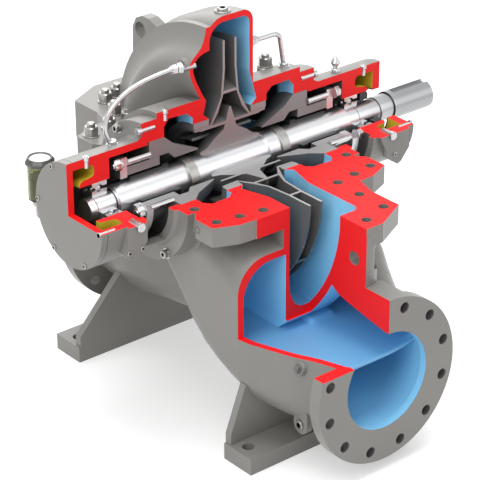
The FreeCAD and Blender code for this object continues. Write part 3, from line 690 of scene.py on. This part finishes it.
ring_screw = joined(cap_screw(8, 10), turned([(0, 0), (0, 11), (1, 11), (1, 0)], 32))
piece("ring_flange_screws", placed(ring_screw, screw_circle(-215, 128, 236) + screw_circle(215, 128, 236)),
      "zinc", "casing")

# Cover screws

FREE_COVER, DRIVE_COVER = -388.2, 393.2  # outer faces of the two covers
cover_spots = screw_circle(FREE_COVER, 98, 1) + screw_circle(DRIVE_COVER, 92, 1)
piece("cover_screws", placed(cap_screw(5.5, 2.5, 1.0), cover_spots), "zinc", "casing")

# Black shaft seal in the drive end housing: three quarters of a ring, clear of the shaft

seal = [(340.2, 31), (361, 31), (361, 44), (355.8, 47.8), (340.2, 47.8)]
piece("housing_seals", part_turned(seal, -180, 270), "black", "casing")

# Gland nuts

gland_spots = [((side * 266, y, z), (side, 0, 0)) for side in (-1, 1)
               for y, z in ((0, 70), (70, 0), (0, -70), (-70, 0))]
piece("gland_nuts", placed(stud_nut(19, 18), gland_spots), "bright", "casing")

# Vent plug on the top of the scroll

vent = joined(turned([(-8, 0), (-8, 16), (3, 16), (4, 15), (4, 0)], 40), cap_screw(11, 9, -4.0))
piece("vent_plug", placed(vent, [((1, 22, 302), UP)]), "zinc", "casing")

# Plugs in the roofs of the chambers and the housings

roof_plug = joined(turned([(-20, 0), (-20, 5), (-7, 5), (-5, 7), (0.8, 7), (1.6, 6.2), (1.6, 0)], 32),
                   hex_body(8, 1.6, 3.4))
piece("roof_plugs", placed(roof_plug, [((-157, 2, 149), UP), ((-342, 2, 105), UP), ((349, 2, 105), UP)]),
      "bright", "casing")

# Screws that the vertical cut lays open, and the stub of the flush connection in the scroll wall

lying = turned([(-33, 0), (-33, 3.8), (-31.5, 4.8), (0, 4.8), (0, 7.5), (8, 7.5), (9, 6.5), (9, 0)], 32)
piece("cut_flange_screws", placed(lying, [((-215, 2, 122.5), TO_FREE_END), ((215, 2, 122.5), TO_DRIVE_END)]),
      "bright", "casing")
stub = turned([(0, 0), (0, 6), (24, 6), (25, 5), (25, 0)], 32)
piece("flush_stub", placed(stub, [((-106, 7, 219), (1, -0.16, 0.05))]), "bright", "casing")
cover_pin = turned([(-34, 0), (-34, 3.4), (0, 3.4), (0, 5.5), (2.5, 5.5), (2.5, 0)], 24)
pin_spots = [((FREE_COVER, -98, -1.2), TO_FREE_END), ((DRIVE_COVER, -94, -1.2), TO_DRIVE_END)]
piece("cut_cover_screws", placed(cover_pin, pin_spots), "bright", "casing")

# Nut on the roof of the drive end chamber

boss = turned([(-16, 0), (-16, 17), (0, 17), (2, 15), (2, 0)], 40)
roof_nut = joined(placed(boss, [((143, 65, 138), UP)]), placed(stud_nut(25, 26), [((143, 65, 140), UP)]))
piece("roof_nut", roof_nut, "zinc", "casing")

# Breather on the coupling side housing

bulb = [(10, 0), (10, 4.5), (14, 5), (19, 9), (23, 9.5), (26, 8), (33, 4), (35, 2.5), (35, 0)]
breather = joined(hex_body(17, 0, 10), turned(bulb, 32))
piece("breather", placed(breather, [((284, 14, 104), UP)]), "bright", "casing")

# Flush pipe fittings

fitting = joined(turned([(0, 0), (0, 7.5), (6, 7.5), (6, 0)], 32), hex_body(20, 6, 16), hex_body(17, 17, 27),
                 turned([(27, 0), (27, 7), (31, 6), (31, 0)], 32))
low_fitting = joined(turned([(-8, 0), (-8, 11), (2, 11), (2, 0)], 32), hex_body(17, 2, 9))
at_scroll = placed(fitting, [((-103, 10, 219.5), (-1, 0.16, 0.0)), ((58, 22, 224), (1, 0.03, -0.03))])
at_seal = placed(low_fitting, [((-264, 26, 101), UP), ((158, 26, 147), UP)])
piece("flush_fittings", joined(at_scroll, at_seal), "bright", "casing")


def smooth_path(points, steps=14):
    """Smooth curve through the points: each span is the cubic whose end slopes are half the chord between
    the neighbours."""
    p = np.array(points, float)
    p = np.concatenate([2 * p[:1] - p[1:2], p, 2 * p[-1:] - p[-2:-1]])
    t = np.linspace(0, 1, steps, endpoint=False)[None, :, None]
    a, b, c, d = (p[i:len(p) - 3 + i, None, :] for i in range(4))
    square, cube = 2 * a - 5 * b + 4 * c - d, 3 * b - a - 3 * c + d
    spans = 0.5 * (2 * b + (c - a) * t + square * t ** 2 + cube * t ** 3)
    return np.concatenate([spans.reshape(-1, 3), p[-2:-1]])


def carried(path, radius, columns=20):
    """Circle carried along a path, held square to it by one side vector that is never along the path."""
    along = np.gradient(path, axis=0)
    along /= np.linalg.norm(along, axis=1)[:, None]
    side = np.cross(along, (0.1, 1.0, 0.0))
    side /= np.linalg.norm(side, axis=1)[:, None]
    other = np.cross(along, side)
    angle = np.linspace(0, 2 * math.pi, columns, endpoint=False)
    ring = side[:, None] * np.cos(angle)[:, None] + other[:, None] * np.sin(angle)[:, None]
    return (path[:, None] + radius * ring).reshape(-1, 3), grid_faces(len(path), columns)


flush_path = smooth_path([
    (-108, 11, 219.5), (-128, 14, 219.5), (-163, 18, 215), (-200, 22, 207), (-233, 26, 193), (-258, 30, 173),
    (-271, 32, 150), (-274, 31, 128), (-269, 28, 109), (-264, 26, 90),
])
flush = piece("flush_pipe", carried(flush_path, 5), "bright", "casing")
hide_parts("flush_tube_nde")

# Pads: plug heads and screws

pad_plug = turned([(0, 0), (0, 7.5), (24, 7.5), (25, 9), (32, 9), (33, 8), (33, 0)], 36)
piece("pad_plugs", placed(pad_plug, [((-309, -90, -3), FRONT), ((326, -86, -3), FRONT)]),
      "bright", "casing")
pad_spots = [((-333, -114, -51), FRONT), ((-303, -114, -50), FRONT), ((334, -114, -46), FRONT)]
piece("pad_screws", placed(cap_screw(5, 2.5, 1.0), pad_spots), "zinc", "casing")

# Drain boss and plug under the suction branch

drain_at = [((-137, -369, -255), (-1, -0.1, 0.35))]
drain_boss = turned([(-26, 0), (-26, 14), (2, 13.5), (4, 12.5), (4, 9.5), (1, 9.5), (1, 0)], 48)
piece("drain_boss", placed(drain_boss, drain_at), "plain", "casing")
drain_plug = joined(turned([(1, 0), (1, 9), (5, 9), (6, 8), (6, 0)], 40), hex_body(12, 6, 11))
piece("drain_plug", placed(drain_plug, drain_at), "iron", "casing")

# Lug with a plug under the suction branch

angle = np.linspace(0, -math.pi, 17)
lug = [(-334, -340), *zip(-353 + 19 * np.cos(angle), -392 + 19 * np.sin(angle)), (-372, -340)]
piece("lower_lug", pulled(lug, -106, -120), "plain", "casing")
piece("lower_lug_plug", placed(cap_screw(10, 5, 1.0), [((-120, -353, -391), TO_FREE_END)]),
      "zinc", "casing")

# Hollow plug in the side of the split flange

side_plug = turned([(-4, 0), (-4, 8), (0.8, 8), (1.2, 7.6), (1.2, 5), (-2, 5), (-2, 0)], 36)
piece("flange_side_plug", placed(side_plug, [((-214, -167, -20), TO_FREE_END)]),
      "iron", "casing")

# Shelf that splits the flow inside the suction branch


def shelf(columns=40, rows=60, thick=9.0):
    """Top and bottom sheets over the same net: half width times -1 to 1 across, depth from the nose
    backwards. Half width is the branch's own at the height of the shelf, with 3 mm more to bite into the
    wall. Height is the middle line plus or minus half the thickness, which follows a circle at the nose; the
    middle line rises with the cube of the distance to the right, and the top climbs in a quarter circle
    where it meets the right wall and the scroll."""
    nose, back, level, nose_level, half_thick = -424.0, -112.0, -266.0, -264.0, thick / 2
    wall_fillet, scroll_fillet, skin_x, skin_y = 26, 12, 58, -246
    y = np.concatenate([nose + half_thick * (1 - np.cos(np.linspace(0, math.pi / 2, 7)))[:-1],
                        np.linspace(nose + half_thick, back, rows)])
    half, floor_at, corner = (np.interp(y, *(np.array(suction_curve(column, 16)).T / MM))
                              for column in (HALF, FLOOR, CORNER))
    under = np.clip(corner - (level - floor_at), 0, corner)
    half = half - corner + np.sqrt(corner ** 2 - under ** 2) + 3
    half = np.where(y < -400, np.interp(y, [-462, -400], [96, 109]), half)
    across = np.linspace(-1, 1, columns)
    x = half[:, None] * across
    yy = np.repeat(y[:, None], columns, axis=1)
    middle = nose_level - 2 * np.clip((y - nose) / 190, 0, 1)
    middle = middle[:, None] + 10 * np.clip(across, 0, 1) ** 3
    away = np.clip(y - nose, 0, half_thick)[:, None]
    swell = np.sqrt(np.clip(half_thick ** 2 - (half_thick - away) ** 2, 0.01, None))
    wall = np.clip(1 - (half[:, None] - x) / wall_fillet, 0, 1)
    skin = np.hypot(np.clip(np.abs(x) - skin_x, 0, None), np.clip(skin_y - yy, 0, None))
    scroll = np.clip(1 - skin / scroll_fillet, 0, 1) * (x > 2) * (x < 75)
    climb = wall_fillet * (1 - np.sqrt(1 - wall ** 2)) + 9 * (1 - np.sqrt(1 - scroll ** 2))
    top = middle + swell + climb * (yy > -415)
    low = middle - swell
    points = np.stack([np.concatenate([x, x[:, ::-1]], 1), np.concatenate([yy, yy[:, ::-1]], 1),
                       np.concatenate([top, low[:, ::-1]], 1)], -1)
    return points.reshape(-1, 3), grid_faces(len(y), 2 * columns)


piece("suction_shelf", shelf(), "wet", "casing")

# Webs that close the rear of the suction branch under the two chambers: an outline in (x, z) carried along Y

web = [(52, -141), (154, -141), (154, -172), (143, -183), (128, -195), (52, -195)]
points, faces = pulled(web, -26, -18.5)
points = points[:, [1, 0, 2]]
webs = joined((points, faces), (points * [-1, 1, 1], faces))
piece("rear_webs", webs, "plain", "casing")

# Constant level oiler behind the free end housing


def oiler_part(profile, columns=40, sides=0, apothem=0.0):
    """Turned part of the oiler, standing on its centre line."""
    return placed(turned(profile, columns, sides, apothem), [(OILER, UP)])


bottle = oiler_part([(-28, 0), (-28, 20), (-24, 26), (48, 27), (52, 23), (52, 20.5), (48, 23.5), (-23, 22.5),
                     (-25, 19), (-25, 0)], 60, 12, 25.2)
piece("oiler_bottle", bottle, "glass", "casing", 14)
oil = oiler_part([(-24.6, 0), (-24.6, 18.6), (-22.6, 22.0), (22, 22.6), (22, 0)])
piece("oiler_oil", oil, "oil", "casing")
cap = oiler_part([(48, 0), (48, 29), (54, 29), (61, 24), (61, 21), (59, 19.5), (59, 0)], 64, 8, 27)
piece("oiler_cap", cap, "cap", "casing", 20)
stem = joined(oiler_part([(-66, 0), (-66, 9), (-62, 12), (-40, 12), (-38, 17), (-28, 19), (-28, 0)]),
              placed(turned([(0, 0), (0, 8), (46, 8), (46, 0)], 32), [((OILER[0], OILER[1], -54), FRONT)]))
piece("oiler_stem", stem, "zinc", "casing")

# Floor, backdrop and light

REACH = 9.0  # half the floor's side
floor_corners = REACH * np.array([[-1, -1, 0], [1, -1, 0], [1, 1, 0], [-1, 1, 0]])
floor_mesh = bpy.data.meshes.new("floor")
floor_mesh.from_pydata(floor_corners.tolist(), [], [[0, 1, 2, 3]])
floor = bpy.data.objects.new("floor", floor_mesh)
bpy.context.scene.collection.objects.link(floor)
floor_finish = bpy.data.materials.new("pale_floor")
floor_finish.use_nodes = True
n = Nodes(floor_finish.node_tree)
shader = floor_finish.node_tree.nodes["Principled BSDF"]
shader.inputs["Base Color"].default_value = rgb(0.80, 0.80, 0.80)
shader.inputs["Roughness"].default_value = 0.9
shader.inputs["Emission Color"].default_value = rgb(1.0, 1.0, 1.0)
n.feed(shader.inputs["Emission Strength"], n.math("MULTIPLY", n.seen(), 0.37))
floor_mesh.materials.append(floor_finish)

world = bpy.data.worlds.new("studio")
bpy.context.scene.world = world
world.use_nodes = True
n = Nodes(world.node_tree)
sky = world.node_tree.nodes["Background"]
sky.inputs["Color"].default_value = rgb(1.0, 1.0, 1.0)
AMBIENT = 0.41  # strength of the white room as a light; seen directly or mirrored it is 1
n.feed(sky.inputs["Strength"], n.math("ADD", n.math("MULTIPLY", n.seen(), 1 - AMBIENT), AMBIENT))


def lamp(name, at, aim, wide, power):
    """Square lamp of a given width in metres and power in watts, turned towards its aim."""
    light = bpy.data.lights.new(name, "AREA")
    light.shape = "SQUARE"
    light.size = wide
    light.energy = power
    holder = bpy.data.objects.new(name, light)
    away = (Vector(at) - Vector(aim)).normalized()
    holder.matrix_world = Matrix.Translation(at) @ away.to_track_quat("Z", "Y").to_matrix().to_4x4()
    bpy.context.scene.collection.objects.link(holder)


lamp("key", (-3.4, -1.8, 3.6), (0, -0.1, 0.4), 3.8, 110)
lamp("side", (2.6, -3.4, 2.2), (0, -0.1, 0.4), 3.0, 23)
lamp("top", (0.0, 0.2, 4.4), (0, 0, 0.4), 3.2, 135)
lamp("rear", (1.5, 3.6, 2.4), (0, 0, 0.4), 3.0, 45)
